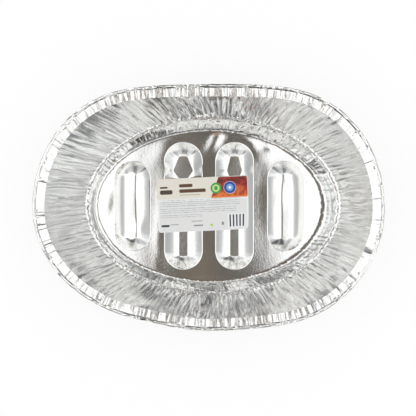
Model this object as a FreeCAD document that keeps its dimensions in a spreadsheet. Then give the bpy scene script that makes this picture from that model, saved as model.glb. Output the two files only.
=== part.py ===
import FreeCAD, Part
import math
import os
import random

import Sketcher
from FreeCAD import Placement, Rotation, Vector

# A large oval roasting pan, pressed from one sheet of aluminium foil, with a loose paper label in it.
# Millimetres. +X runs along the pan, +Y towards its back, +Z up.
# The origin is on the surface that the pan stands on, below the middle of its floor.
# A run is how far a slope leads outwards, seen from above, at the ends or at the sides.

SIZES = [
    ("foil_gauge", 0.15, "thickness of the foil"),
    ("floor_length", 329.7, "flat floor"),
    ("floor_width", 220.5, "flat floor"),
    ("heel_height", 4, "top of the slack corner between floor and wall, above the table"),
    ("heel_run_end", 10.3, "slack corner at the ends"),
    ("heel_run_side", 5, "slack corner at the sides"),
    ("heel_shift_x", 3.1, "slack corner off the middle, to the right"),
    ("heel_shift_y", -1.2, "slack corner off the middle, to the back"),
    ("step_run_end", 5.3, "lower wall at the ends"),
    ("step_run_side", 12.2, "lower wall at the sides"),
    ("ledge_height", 18, "ledge above the table"),
    ("ledge_run_end", 6.2, "ledge at the ends"),
    ("ledge_run_side", 3.3, "ledge at the sides"),
    ("ledge_shift_x", 5.8, "ledge off the middle, to the right"),
    ("ledge_shift_y", 1.1, "ledge off the middle, to the back"),
    ("wall_run_end", 45.7, "upper wall at the ends"),
    ("wall_run_side", 26.6, "upper wall at the sides"),
    ("flange_height", 71, "top of the flange above the table"),
    ("flange_width", 13, "from the wall to the rolled edge"),
    ("groove_width", 1, "smooth strip of the flange beside the rolled edge"),
    ("bead_radius", 2.6, "rolled edge, over the foil"),
    ("bead_rise", 1, "top of the rolled edge above the flange"),
    ("bead_curl", 290, "degrees that the edge is rolled through"),
    ("bead_pieces", 7, "flats round the section of the rolled edge"),
    ("rim_pieces", 52, "flats along the rolled edge"),
    ("rim_side_bow", 7, "half the width of the rim less the radius of its round ends"),
    ("bend_back_right", 6.2, "back right corner of the rim, bent outwards in use"),
    ("bend_back_left", 4.8, "back left corner of the rim, bent outwards in use"),
    ("bend_front_left", -11, "front left corner of the rim, bent inwards in use"),
    ("bend_front_right", 0, "front right corner of the rim"),
    ("fold_count", 160, "folds round the upper wall"),
    ("fold_depth", 1.7, "upper folds at the ledge, ridge to valley"),
    ("fold_depth_flange", 0.7, "the same folds where the wall meets the flange"),
    ("flange_ripple", 0.5, "the same folds where they run out over the flange"),
    ("step_fold_count", 120, "folds round the lower wall"),
    ("step_fold_depth", 0.8, "lower folds, ridge to valley"),
    ("fold_seed", 7, "which chance pattern the folds follow"),
    ("rib_height", 9, "crest of a rib above the floor"),
    ("rib_width", 56, "the two middle ribs at the floor"),
    ("outer_rib_width", 54, "the two outer ribs at the floor"),
    ("crest_width", 14, "flat top of a rib before its edges are rounded"),
    ("crest_round", 4, "radius of the rounded edges of the crest"),
    ("rib_end_margin", 13, "floor left beyond the ends of a rib"),
    ("rib_side_margin", 24.4, "floor left beyond the outer ribs"),
    ("label_length", 134, "paper label"),
    ("label_width", 79, "paper label"),
    ("label_thickness", 0.3, "paper label"),
    ("label_corner", 4, "radius of the corners of the label"),
    ("label_x", -8.7, "middle of the label"),
    ("label_y", 3.2, "middle of the label"),
    ("label_turn", 2.6, "degrees that the label lies askew"),
]

# Each rib: how many pitches it stands from the middle of the pan, and which size is its width.
RIBS = [
    ("left_outer", -1.5, "outer_rib_width"),
    ("left_middle", -0.5, "rib_width"),
    ("right_middle", 0.5, "rib_width"),
    ("right_outer", 1.5, "outer_rib_width"),
]


# The least and the most share of a fold's even space or depth that chance gives it.
LOWER_FOLD_SPACES = (0.7, 1.3)
UPPER_FOLD_SPACES = (0.6, 1.4)
FOLD_DEPTHS = (0.55, 1.3)

# How far a fold may lean sideways half way up the wall, in folds.
FOLD_LEAN = 0.15

# Radians on each side of a point that show which way its curve runs.
SMALL_TURN = 0.002

# Straight pieces that measure the length of a curve.
MEASURING_PIECES = 1440


def make_size_sheet(doc):
    sheet = doc.addObject("Spreadsheet::Sheet", "sizes")
    for row, (alias, value, meaning) in enumerate(SIZES, start=1):
        sheet.set("A%d" % row, alias)
        sheet.set("B%d" % row, str(value))
        sheet.set("C%d" % row, meaning)
        sheet.setAlias("B%d" % row, alias)
    doc.recompute()
    return sheet


# Curves of the pan, seen from above

class Plan:
    """A closed curve, given by its distance from its own centre at each angle."""

    def __init__(self, radius_at, shift=Vector(0, 0, 0)):
        self.radius_at = radius_at
        self.shift = shift

    def point(self, angle):
        radius = self.radius_at(angle)
        return self.shift + Vector(radius * math.cos(angle), radius * math.sin(angle), 0)

    def outward(self, angle):
        """The level direction that leads square out of the curve."""
        along = self.point(angle + SMALL_TURN) - self.point(angle - SMALL_TURN)
        return Vector(along.y, -along.x, 0).normalize()


class InsetPlan(Plan):
    """The curve that runs a fixed distance inside another one."""

    def __init__(self, outer, inset):
        self.outer = outer
        self.inset = inset

    def point(self, angle):
        return self.outer.point(angle) - self.outer.outward(angle) * self.inset

    def outward(self, angle):
        return self.outer.outward(angle)


class MiddlePlan(Plan):
    """The curve half way between two others."""

    def __init__(self, first, second):
        self.first = first
        self.second = second

    def point(self, angle):
        return (self.first.point(angle) + self.second.point(angle)) * 0.5


def ellipse(half_length, half_width, shift=Vector(0, 0, 0)):
    def radius_at(angle):
        return half_length * half_width / math.hypot(
            half_width * math.cos(angle), half_length * math.sin(angle)
        )

    return Plan(radius_at, shift)


def bent_oval(half_length, half_width, side_bow, bends):
    """An oval of four arcs that meet smoothly, bent out or in at each corner."""
    end_radius = half_width - side_bow
    side_radius = (half_length**2 + half_width**2 - 2 * half_length * end_radius) / (
        2 * side_bow
    )
    end_centre = half_length - end_radius
    side_centre = half_width - side_radius
    meeting = math.atan2(-side_centre * end_radius, end_centre * side_radius)

    def radius_at(angle):
        across, up = abs(math.cos(angle)), abs(math.sin(angle))
        if math.atan2(up, across) < meeting:
            radius = end_centre * across + math.sqrt(
                end_radius**2 - (end_centre * up) ** 2
            )
        else:
            radius = side_centre * up + math.sqrt(
                side_radius**2 - (side_centre * across) ** 2
            )
        corner = int(angle % (2 * math.pi) // (math.pi / 2))
        return radius + bends[corner] * math.sin(2 * angle) ** 2

    return Plan(radius_at)


def split_angles(plan, shares):
    """Angles from 0 round to a full turn that split a curve into lengths in these shares."""
    angles = [2 * math.pi * i / MEASURING_PIECES for i in range(MEASURING_PIECES + 1)]
    points = [plan.point(angle) for angle in angles]
    lengths = [0.0]
    for before, after in zip(points, points[1:]):
        lengths.append(lengths[-1] + before.distanceToPoint(after))

    scale = lengths[-1] / sum(shares)
    wanted = 0.0
    at = 0
    found = []
    for share in shares:
        while lengths[at + 1] < wanted:
            at += 1
        part = (wanted - lengths[at]) / (lengths[at + 1] - lengths[at])
        found.append(angles[at] + part * (angles[at + 1] - angles[at]))
        wanted += share * scale
    return found


# Fold lines round the pan

class Ring:
    """One fold line: a plan curve at a height, with ridges and valleys in turn."""

    def __init__(self, plan, height, angles, pushes=None, lifts=None, level=False):
        self.plan = plan
        self.height = height
        self.angles = angles
        self.pushes = pushes or [0] * len(angles)
        self.lifts = lifts or [0] * len(angles)
        self.level = level

    def upper(self):
        """Its points on the upper face of the foil."""
        points = []
        for angle, push, lift in zip(self.angles, self.pushes, self.lifts):
            out = self.plan.outward(angle) * push
            points.append(self.plan.point(angle) + out + Vector(0, 0, self.height + lift))
        return points

    def lower(self, gauge, before, after):
        """Its points on the under face, where the slopes on each side of it still meet."""
        level = (1, 0)
        points = []
        for angle, upper in zip(self.angles, self.upper()):
            run_in, rise_in = slope(before, self, angle) if before else level
            run_out, rise_out = slope(self, after, angle) if after else (run_in, rise_in)
            share = gauge / (1 + run_in * run_out + rise_in * rise_out)
            out = self.plan.outward(angle) * share * (rise_in + rise_out)
            points.append(upper + out - Vector(0, 0, share * (run_in + run_out)))
        return points


def slope(inner, outer, angle):
    """Run and rise of the foil from one ring to the next, for one unit of its length."""
    across = outer.plan.point(angle) - inner.plan.point(angle)
    run = across.dot(outer.plan.outward(angle))
    rise = outer.height - inner.height
    length = math.hypot(run, rise)
    return run / length, rise / length


def zigzag(count, depth, chance):
    """Offsets to the two sides in turn, none of them quite alike."""
    return [
        depth / 2 * chance.uniform(*FOLD_DEPTHS) * (1 if i % 2 else -1) for i in range(count)
    ]


def make_rings(size):
    """The fold lines of the foil, from the edge of its floor to the end of its rolled edge."""
    root_drop = size("bead_radius") - size("bead_rise")
    root_turn = math.pi - math.asin(root_drop / size("bead_radius"))
    root_inset = size("bead_radius") * (1 - math.cos(root_turn))
    band_width = root_inset + size("flange_width")
    heel_shift = Vector(size("heel_shift_x"), size("heel_shift_y"), 0)
    ledge_shift = Vector(size("ledge_shift_x"), size("ledge_shift_y"), 0)

    half_length = size("floor_length") / 2
    half_width = size("floor_width") / 2
    floor = ellipse(half_length, half_width)
    half_length += size("heel_run_end")
    half_width += size("heel_run_side")
    heel = ellipse(half_length, half_width, heel_shift)
    half_length += size("step_run_end")
    half_width += size("step_run_side")
    ledge = ellipse(half_length, half_width, ledge_shift)
    half_length += size("ledge_run_end")
    half_width += size("ledge_run_side")
    foot = ellipse(half_length, half_width, ledge_shift)
    half_length += size("wall_run_end") + band_width
    half_width += size("wall_run_side") + band_width
    bends = [
        size("bend_back_right"),
        size("bend_back_left"),
        size("bend_front_left"),
        size("bend_front_right"),
    ]
    rim = bent_oval(half_length, half_width, size("rim_side_bow"), bends)
    flange_inner = InsetPlan(rim, band_width)
    flange_outer = InsetPlan(rim, root_inset + size("groove_width"))

    chance = random.Random(int(size("fold_seed")))
    step_lines = 2 * int(size("step_fold_count"))
    step_shares = [chance.uniform(*LOWER_FOLD_SPACES) for _ in range(step_lines)]
    step_angles = split_angles(heel, step_shares)
    heel_pushes = zigzag(step_lines, size("step_fold_depth") / 2, chance)
    ledge_pushes = zigzag(step_lines, size("step_fold_depth"), chance)

    wall_lines = 2 * int(size("fold_count"))
    wall_shares = [chance.uniform(*UPPER_FOLD_SPACES) for _ in range(wall_lines)]
    wall_angles = split_angles(flange_inner, wall_shares)
    lean = FOLD_LEAN * 2 * math.pi / wall_lines
    middle_angles = [angle + chance.uniform(-lean, lean) for angle in wall_angles]
    middle_depth = (size("fold_depth") + size("fold_depth_flange")) / 2
    foot_pushes = zigzag(wall_lines, size("fold_depth"), chance)
    middle_pushes = zigzag(wall_lines, middle_depth, chance)
    flange_pushes = zigzag(wall_lines, size("fold_depth_flange"), chance)
    inner_lifts = zigzag(wall_lines, size("flange_ripple"), chance)
    outer_lifts = [lift / 2 for lift in inner_lifts]

    ledge_height = size("ledge_height")
    flange_height = size("flange_height")
    middle = MiddlePlan(foot, flange_inner)
    middle_height = (ledge_height + flange_height) / 2
    rings = [
        Ring(floor, size("foil_gauge"), step_angles),
        Ring(heel, size("heel_height"), step_angles, heel_pushes),
        Ring(ledge, ledge_height, step_angles, ledge_pushes),
        Ring(foot, ledge_height, wall_angles, foot_pushes, level=True),
        Ring(middle, middle_height, middle_angles, middle_pushes),
        Ring(flange_inner, flange_height, wall_angles, flange_pushes, inner_lifts),
        Ring(flange_outer, flange_height, wall_angles, None, outer_lifts),
    ]
    rim_angles = split_angles(rim, [1] * int(size("rim_pieces")))
    pieces = int(size("bead_pieces"))
    for i in range(pieces + 1):
        turn = root_turn - math.radians(size("bead_curl")) * i / pieces
        inset = size("bead_radius") * (1 - math.cos(turn))
        height = flange_height - root_drop + size("bead_radius") * math.sin(turn)
        rings.append(Ring(InsetPlan(rim, inset), height, rim_angles))
    return rings


# The foil between its fold lines

def level_face(outer, *holes):
    wires = [Part.makePolygon(ring + ring[:1]) for ring in (outer, *holes)]
    return Part.makeFace(wires, "Part::FaceMakerBullseye").Faces


def facet(first, second, third):
    return Part.Face(Part.makePolygon([first, second, third, first]))


def band(inner, outer):
    """Facets between two rings that have as many points as each other."""
    facets = []
    for i in range(len(inner)):
        facets.append(facet(inner[i - 1], outer[i - 1], outer[i]))
        facets.append(facet(inner[i - 1], outer[i], inner[i]))
    return facets


def joining_band(inner, inner_angles, outer, outer_angles):
    """Facets between two rings that have different numbers of points."""
    inner_stops = inner_angles[1:] + [2 * math.pi, math.inf]
    outer_stops = outer_angles[1:] + [2 * math.pi, math.inf]
    facets = []
    i = 0
    j = 0
    while i < len(inner) or j < len(outer):
        here = inner[i % len(inner)]
        there = outer[j % len(outer)]
        if inner_stops[i] <= outer_stops[j]:
            i += 1
            facets.append(facet(here, there, inner[i % len(inner)]))
        else:
            j += 1
            facets.append(facet(here, there, outer[j % len(outer)]))
    return facets


def foil_face(rings, points):
    """One face of the foil, from the floor to the end of the rolled edge."""
    facets = level_face(points[0])
    for i in range(1, len(rings)):
        inner, outer = points[i - 1], points[i]
        if rings[i].level:
            facets += level_face(outer, inner)
        elif len(inner) == len(outer):
            facets += band(inner, outer)
        else:
            facets += joining_band(inner, rings[i - 1].angles, outer, rings[i].angles)
    return facets


def make_pressed_sheet(doc, size):
    """The foil before its ribs: both of its faces and the cut edge that joins them."""
    rings = make_rings(size)
    upper = [ring.upper() for ring in rings]
    neighbours = zip([None, *rings], [*rings[1:], None])
    lower = [
        ring.lower(size("foil_gauge"), before, after)
        for ring, (before, after) in zip(rings, neighbours)
    ]
    facets = foil_face(rings, upper) + foil_face(rings, lower) + band(upper[-1], lower[-1])
    skin = Part.makeCompound(facets)
    skin.sewShape()
    sheet = doc.addObject("Part::Feature", "pressed_sheet")
    sheet.Shape = Part.Solid(skin.Shells[0])
    return sheet


# Ribs of the floor

def flat_sketch(body, name):
    """An empty sketch on the body's own level plane."""
    sketch = body.newObject("Sketcher::SketchObject", name)
    planes = body.Origin.OriginFeatures
    level = next(plane for plane in planes if plane.Role == "XY_Plane")
    sketch.AttachmentSupport = [(level, "")]
    sketch.MapMode = "FlatFace"
    return sketch


def draw_stadium(sketch, end_radius, straight):
    """A slot outline along Y about the origin. Its two sizes are texts over the size sheet."""
    radius, reach = 10, 20
    across = Vector(radius, 0, 0)
    back = Vector(0, reach, 0)
    axis = Vector(0, 0, 1)
    sketch.addGeometry([
        Part.LineSegment(across - back, across + back),
        Part.ArcOfCircle(Part.Circle(back, axis, radius), 0, math.pi),
        Part.LineSegment(back - across, -across - back),
        Part.ArcOfCircle(Part.Circle(-back, axis, radius), math.pi, 2 * math.pi),
    ])
    start, end, middle = 1, 2, 3
    origin, y_axis = -1, -2
    sketch.addConstraint([
        Sketcher.Constraint("Tangent", 0, end, 1, start),
        Sketcher.Constraint("Tangent", 1, end, 2, start),
        Sketcher.Constraint("Tangent", 2, end, 3, start),
        Sketcher.Constraint("Tangent", 3, end, 0, start),
        Sketcher.Constraint("PointOnObject", 1, middle, y_axis),
        Sketcher.Constraint("Symmetric", 1, middle, 3, middle, origin, start),
        Sketcher.Constraint("Vertical", 0),
    ])
    by_size = [
        (Sketcher.Constraint("Radius", 1, radius), "end_radius", end_radius),
        (Sketcher.Constraint("DistanceY", 3, middle, 1, middle, 2 * reach), "straight", straight),
    ]
    for constraint, name, text in by_size:
        sketch.renameConstraint(sketch.addConstraint(constraint), name)
        sketch.setExpression("Constraints." + name, text)


def make_rib(doc, name, station, width, under):
    """A rib like a hipped roof with round ends, as the solid below one face of the foil."""
    body = doc.addObject("PartDesign::Body", name)
    run = "(sizes.%s - sizes.crest_width) / 2" % width
    rafter = "sqrt((%s) ^ 2 + sizes.rib_height ^ 2)" % run
    if under:
        spread = "-sizes.foil_gauge * (%s - %s) / sizes.rib_height" % (rafter, run)
        height = "sizes.rib_height"
        rounding = "sizes.crest_round"
    else:
        spread = "sizes.foil_gauge * %s / sizes.rib_height" % run
        height = "sizes.rib_height + sizes.foil_gauge"
        rounding = "sizes.crest_round + sizes.foil_gauge"

    outer_place = "(sizes.floor_length / 2 - sizes.rib_side_margin - sizes.outer_rib_width / 2)"
    place = "%s * %s / %s" % (station, outer_place, RIBS[-1][1])
    floor_reach = "sizes.floor_width / 2 * sqrt(1 - (2 * %s / sizes.floor_length) ^ 2)" % place
    straight = "2 * (%s - sizes.rib_end_margin) - sizes.%s" % (floor_reach, width)

    outline = flat_sketch(body, name + "_outline")
    draw_stadium(outline, "sizes.%s / 2 + %s" % (width, spread), straight)
    slopes = body.newObject("PartDesign::Pad", name + "_slopes")
    slopes.Profile = outline
    slopes.setExpression("Length", height)
    slopes.setExpression("TaperAngle", "-atan(%s / sizes.rib_height)" % run)
    doc.recompute()

    top = slopes.Shape.BoundBox.ZMax
    crest_edges = [
        "Edge%d" % (i + 1)
        for i, edge in enumerate(slopes.Shape.Edges)
        if edge.BoundBox.ZMin > top / 2
    ]
    crest = body.newObject("PartDesign::Fillet", name + "_crest")
    crest.Base = (slopes, crest_edges)
    crest.setExpression("Radius", rounding)
    body.setExpression("Placement.Base.x", place)
    return body


def fuse(doc, name, shapes):
    joined = doc.addObject("Part::MultiFuse", name)
    joined.Shapes = shapes
    joined.Refine = False
    return joined


def make_foil_pan(doc, size):
    """The foil, raised into ribs from below."""
    raised = [make_pressed_sheet(doc, size)]
    hollows = []
    for side, station, width in RIBS:
        raised.append(make_rib(doc, side + "_rib", station, width, under=False))
        hollows.append(make_rib(doc, side + "_hollow", station, width, under=True))
    pan = doc.addObject("Part::Cut", "foil_pan")
    pan.Base = fuse(doc, "raised_foil", raised)
    pan.Tool = fuse(doc, "rib_hollows", hollows)
    pan.Refine = False
    return pan


# The paper label

def draw_rectangle(sketch, length, width):
    """A rectangle about the origin. Its two sizes are texts over the size sheet."""
    half_length, half_width = 20, 10
    corners = [
        Vector(half_length, -half_width, 0),
        Vector(half_length, half_width, 0),
        Vector(-half_length, half_width, 0),
        Vector(-half_length, -half_width, 0),
    ]
    for corner, following in zip(corners, corners[1:] + corners[:1]):
        sketch.addGeometry(Part.LineSegment(corner, following))
    start, end = 1, 2
    origin = -1
    sketch.addConstraint([
        Sketcher.Constraint("Coincident", 0, end, 1, start),
        Sketcher.Constraint("Coincident", 1, end, 2, start),
        Sketcher.Constraint("Coincident", 2, end, 3, start),
        Sketcher.Constraint("Coincident", 3, end, 0, start),
        Sketcher.Constraint("Vertical", 0),
        Sketcher.Constraint("Horizontal", 1),
        Sketcher.Constraint("Vertical", 2),
        Sketcher.Constraint("Horizontal", 3),
        Sketcher.Constraint("Symmetric", 1, start, 3, start, origin, start),
    ])
    by_size = [
        (Sketcher.Constraint("DistanceX", 1, end, 1, start, 2 * half_length), "length", length),
        (Sketcher.Constraint("DistanceY", 0, start, 0, end, 2 * half_width), "width", width),
    ]
    for constraint, name, text in by_size:
        sketch.renameConstraint(sketch.addConstraint(constraint), name)
        sketch.setExpression("Constraints." + name, text)


def make_paper_label(doc):
    """Lies across the crests of the two middle ribs."""
    body = doc.addObject("PartDesign::Body", "paper_label")
    outline = flat_sketch(body, "label_outline")
    draw_rectangle(outline, "sizes.label_length", "sizes.label_width")
    card = body.newObject("PartDesign::Pad", "label_card")
    card.Profile = outline
    card.setExpression("Length", "sizes.label_thickness")
    doc.recompute()

    upright_edges = [
        "Edge%d" % (i + 1)
        for i, edge in enumerate(card.Shape.Edges)
        if edge.BoundBox.ZLength > card.Length.Value / 2
    ]
    corners = body.newObject("PartDesign::Fillet", "label_corners")
    corners.Base = (card, upright_edges)
    corners.setExpression("Radius", "sizes.label_corner")

    body.Placement = Placement(Vector(0, 0, 0), Rotation(Vector(0, 0, 1), 1))
    body.setExpression("Placement.Base.x", "sizes.label_x")
    body.setExpression("Placement.Base.y", "sizes.label_y")
    body.setExpression("Placement.Base.z", "sizes.foil_gauge + sizes.rib_height")
    body.setExpression("Placement.Rotation.Angle", "sizes.label_turn")
    return body


def check(doc, pieces):
    for thing in doc.Objects:
        if "Invalid" in thing.State or "Error" in thing.State:
            raise RuntimeError("%s could not be made" % thing.Name)
    for piece in pieces:
        if piece.Shape.isNull() or not piece.Shape.isValid():
            raise RuntimeError("%s has no sound shape" % piece.Label)
        if len(piece.Shape.Solids) != 1:
            raise RuntimeError("%s is not one solid" % piece.Label)


def main():
    doc = FreeCAD.newDocument("foil_roasting_pan")
    sheet = make_size_sheet(doc)

    def size(alias):
        return float(sheet.get(alias))

    pieces = [make_foil_pan(doc, size), make_paper_label(doc)]
    doc.recompute()
    check(doc, pieces)
    os.makedirs("parts", exist_ok=True)
    for piece in pieces:
        piece.Shape.exportStep("parts/%s.step" % piece.Label)
        print(piece.Label, round(piece.Shape.Volume), "mm3", piece.Shape.BoundBox)


main()
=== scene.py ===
import math
import random

import bpy
import numpy as np
from bpy.props import FloatProperty, FloatVectorProperty, IntProperty, PointerProperty
from mathutils import Matrix, Vector
from mathutils.geometry import delaunay_2d_cdt


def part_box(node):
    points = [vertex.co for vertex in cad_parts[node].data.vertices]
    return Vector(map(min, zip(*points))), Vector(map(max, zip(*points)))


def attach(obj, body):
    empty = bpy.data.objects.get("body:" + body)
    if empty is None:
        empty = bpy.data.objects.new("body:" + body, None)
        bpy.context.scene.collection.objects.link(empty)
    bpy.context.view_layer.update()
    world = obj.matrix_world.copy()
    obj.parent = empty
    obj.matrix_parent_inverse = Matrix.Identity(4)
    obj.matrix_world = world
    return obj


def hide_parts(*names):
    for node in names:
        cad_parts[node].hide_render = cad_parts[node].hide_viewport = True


# A large oval roasting pan, pressed from one sheet of aluminium foil, with a loose paper label in it.
# Metres. +X runs along the pan, +Y towards its back, +Z up.

bl_info = {
    "name": "Foil roasting pan",
    "version": (1, 0, 0),
    "blender": (4, 5, 0),
    "location": "3D View > Sidebar > Roasting pan",
    "description": "Makes an oval foil roasting pan with a loose paper label, and a plain studio",
    "category": "Add Mesh",
}

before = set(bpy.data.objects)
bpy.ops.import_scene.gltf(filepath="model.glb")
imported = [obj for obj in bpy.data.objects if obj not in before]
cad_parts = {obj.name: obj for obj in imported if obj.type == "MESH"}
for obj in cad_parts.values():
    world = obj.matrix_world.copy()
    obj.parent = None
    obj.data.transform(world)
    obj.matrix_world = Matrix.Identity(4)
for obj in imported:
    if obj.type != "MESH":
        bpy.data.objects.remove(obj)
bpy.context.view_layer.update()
LABEL_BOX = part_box("paper_label")
MM = 0.001


# Sizes and colours

def linear(hex_colour):
    """An sRGB colour such as #E8E9EB as linear red, green, blue and alpha."""
    values = [int(hex_colour[i : i + 2], 16) / 255 for i in (1, 3, 5)]
    return [v / 12.92 if v <= 0.04045 else ((v + 0.055) / 1.055) ** 2.4 for v in values] + [1]


def length(name, description, default):
    return FloatProperty(
        name=name, description=description, default=default, unit="LENGTH", precision=5
    )


def colour(name, description, hex_colour):
    return FloatVectorProperty(
        name=name, description=description, default=linear(hex_colour), subtype="COLOR", size=4,
        min=0, max=1,
    )


def factor(name, description, default):
    return FloatProperty(
        name=name, description=description, default=default, min=0, max=1, subtype="FACTOR"
    )


def turn(name, description, degrees):
    return FloatProperty(
        name=name, description=description, default=math.radians(degrees), subtype="ANGLE"
    )


class PanSizes(bpy.types.PropertyGroup):
    """The form of the pan, as in its solid."""

    foil_gauge: length("Foil gauge", "Thickness of the foil", 0.00015)
    floor_length: length("Floor length", "Flat floor", 0.3297)
    floor_width: length("Floor width", "Flat floor", 0.2205)
    heel_height: length("Heel height", "Top of the slack corner above the table", 0.004)
    heel_run_end: length("Heel run, ends", "Slack corner at the ends", 0.0103)
    heel_run_side: length("Heel run, sides", "Slack corner at the sides", 0.005)
    heel_shift_x: length("Heel shift, right", "Slack corner off the middle", 0.0031)
    heel_shift_y: length("Heel shift, back", "Slack corner off the middle", -0.0012)
    step_run_end: length("Lower wall, ends", "Run of the lower wall at the ends", 0.0053)
    step_run_side: length("Lower wall, sides", "Run of the lower wall at the sides", 0.0122)
    ledge_height: length("Ledge height", "Ledge above the table", 0.018)
    ledge_run_end: length("Ledge, ends", "Width of the ledge at the ends", 0.0062)
    ledge_run_side: length("Ledge, sides", "Width of the ledge at the sides", 0.0033)
    ledge_shift_x: length("Ledge shift, right", "Ledge off the middle", 0.0058)
    ledge_shift_y: length("Ledge shift, back", "Ledge off the middle", 0.0011)
    wall_run_end: length("Upper wall, ends", "Run of the upper wall at the ends", 0.0457)
    wall_run_side: length("Upper wall, sides", "Run of the upper wall at the sides", 0.0266)
    flange_height: length("Flange height", "Top of the flange above the table", 0.071)
    flange_width: length("Flange width", "From the wall to the rolled edge", 0.013)
    groove_width: length("Groove", "Smooth strip beside the rolled edge", 0.001)
    bead_radius: length("Rolled edge radius", "Rolled edge, over the foil", 0.0026)
    bead_rise: length("Rolled edge rise", "Its top above the flange", 0.001)
    bead_curl: turn("Rolled edge curl", "How far the edge is rolled", 290)
    rim_side_bow: length("Side bow", "How far the long sides bow out", 0.007)
    bend_back_right: length("Bend, back right", "Corner bent outwards in use", 0.0062)
    bend_back_left: length("Bend, back left", "Corner bent outwards in use", 0.0048)
    bend_front_left: length("Bend, front left", "Corner bent outwards in use", -0.011)
    bend_front_right: length("Bend, front right", "Corner bent outwards in use", 0.0)
    rib_height: length("Rib height", "Crest of a rib above the floor", 0.009)
    rib_width: length("Middle ribs", "Width of the two middle ribs at the floor", 0.056)
    outer_rib_width: length("Outer ribs", "Width of the two outer ribs at the floor", 0.054)
    crest_width: length("Crest width", "Flat top of a rib", 0.014)
    crest_flare: length("Crest flare, left", "How much wider it is near its back end", 0.0085)
    crest_flare_right: length("Crest flare, right", "The same for the right middle rib", 0.005)
    rib_end_margin: length("Floor past a rib", "Floor beyond the ends of a rib", 0.013)
    rib_side_margin: length("Floor past the ribs", "Floor beyond the outer ribs", 0.0244)


class FoldSizes(bpy.types.PropertyGroup):
    """How the foil is gathered, and how it is crumpled on top of that."""

    fold_count: IntProperty(name="Folds", description="Folds round the upper wall", default=160)
    fold_depth: length("Fold depth at the ledge", "Ridge to valley", 0.0017)
    fold_depth_flange: length("Fold depth at the flange", "Ridge to valley", 0.00045)
    flange_ripple: length("Flange ripple", "Folds where they run out over the flange", 0.0002)
    step_fold_count: IntProperty(
        name="Lower folds", description="Folds round the lower wall", default=120
    )
    step_fold_depth: length("Lower fold depth", "Ridge to valley", 0.0004)
    ring_depth: length("Rings", "Shallow rings round the lower wall", 0.00022)
    groove_depth: length("Groove", "Dip of the flange beside the rolled edge", 0.0006)
    fold_seed: IntProperty(name="Chance pattern", description="Which one it is", default=7)
    crease_depth: length("Creases", "Fine creases between the folds", 0.00042)
    tick_depth: length("Ticks", "Short creases across the flange", 0.0008)
    crumple_depth: length("Crumples", "Small crumples of the upper wall", 0.0003)
    dent_depth: length("Dents", "Wide, shallow dents of the walls", 0.0006)
    floor_wave: length("Floor waves", "Slack of the floor and the ribs", 0.00004)
    buckle_height: length("Buckles", "Low bumps of the slack floor", 0.0005)


class FoilFinish(bpy.types.PropertyGroup):
    """The bare foil."""

    foil_colour: colour("Foil", "Bare aluminium foil", "#F3F3F1")
    foil_haze: colour("Haze", "Foil where rolling left it duller", "#EBEBE9")
    floor_roughness: factor("Floor roughness", "Foil drawn tight over the tool", 0.045)
    wall_roughness: factor("Wall roughness", "Foil that is gathered and rubbed", 0.12)


class LabelSizes(bpy.types.PropertyGroup):
    """The card and how it lies."""

    label_length: length("Length", "Paper label", 0.134)
    label_width: length("Width", "Paper label", 0.079)
    label_thickness: length("Thickness", "Paper label", 0.0003)
    label_corner: length("Corners", "Radius of the corners", 0.004)
    label_x: length("Middle, right", "Middle of the label", -0.0087)
    label_y: length("Middle, back", "Middle of the label", 0.0032)
    label_turn: turn("Turn", "How far it lies askew", 2.6)
    corner_lift: length("Corner lift", "Front right corner, curled upwards", 0.0085)
    edge_lift: length("Edge lift", "Left end, curled upwards", 0.0012)


class LabelInks(bpy.types.PropertyGroup):
    """The paper and its print."""

    paper: colour("Paper", "Coated white card", "#EEF0F2")
    header: colour("Header", "Upper field", "#E4DFD3")
    body: colour("Body", "Lower field", "#E2E3E2")
    brown: colour("Brown", "Dark strips of the header", "#4A3C30")
    umber: colour("Umber", "Title strips", "#5A3D28")
    tan: colour("Tan", "Faint strip", "#C9BFAE")
    red: colour("Red", "Picture field, main", "#A3241A")
    dark_red: colour("Dark red", "Picture field, shade", "#5E150F")
    orange: colour("Orange", "Picture field, glow", "#E07A2E")
    green: colour("Green", "Left badge", "#2E9E48")
    pale_green: colour("Pale green", "Middle of the left badge", "#C8DC8A")
    blue: colour("Blue", "Right badge", "#24479E")
    pale_blue: colour("Pale blue", "Middle of the right badge", "#6FA9DE")
    grey: colour("Grey", "Fine strips", "#84898E")
    black: colour("Black", "Bars", "#34363A")
    lime: colour("Lime", "Small dot", "#B5D334")


class StageLook(bpy.types.PropertyGroup):
    """The studio."""

    floor_colour: colour("Floor", "White table", "#FAFAFA")
    # The card glows with these colours: painted dark and tan for the foil to mirror.
    card_dark: colour("Card, dark", "Dark of the card above the pan", "#67645F")
    card_tan: colour("Card, tan", "Tan of the card above the pan", "#A08D7B")
    lamp_level: FloatProperty(
        name="Soft boxes", description="How bright their faces are, where 1 is white", default=1.0
    )
    room_level: factor("Room", "How bright the room is to matt things", 0.95)
    # The boards glow with these colours: painted light and shade, dark at the table's height and
    # white at their upper edge.
    board_low: colour("Boards, low", "Boards round the table, at its height", "#665849")
    board_middle: colour("Boards, middle", "The same boards a little higher", "#8C8C8A")
    board_side: colour("Boards, middle, past the ends", "The same past the pan's ends", "#EAEBEA")
    board_high: colour("Boards, high", "The same boards above their middle", "#CDD0D3")
    board_top: colour("Boards, top", "The same boards at their upper edge", "#F4F4F4")


# Curves of the pan, seen from above

class Plan:
    """A closed curve, given by its distance from its own centre at each angle."""

    def __init__(self, radius_at, shift=(0, 0)):
        self.radius_at = radius_at
        self.shift = np.array(shift)

    def points(self, angles):
        radii = self.radius_at(angles)
        return self.shift + np.stack([radii * np.cos(angles), radii * np.sin(angles)], axis=-1)

    def outward(self, angles):
        """The level directions that lead square out of the curve."""
        small = 0.002
        along = self.points(angles + small) - self.points(angles - small)
        across = np.stack([along[..., 1], -along[..., 0]], axis=-1)
        return across / np.linalg.norm(across, axis=-1, keepdims=True)


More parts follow.
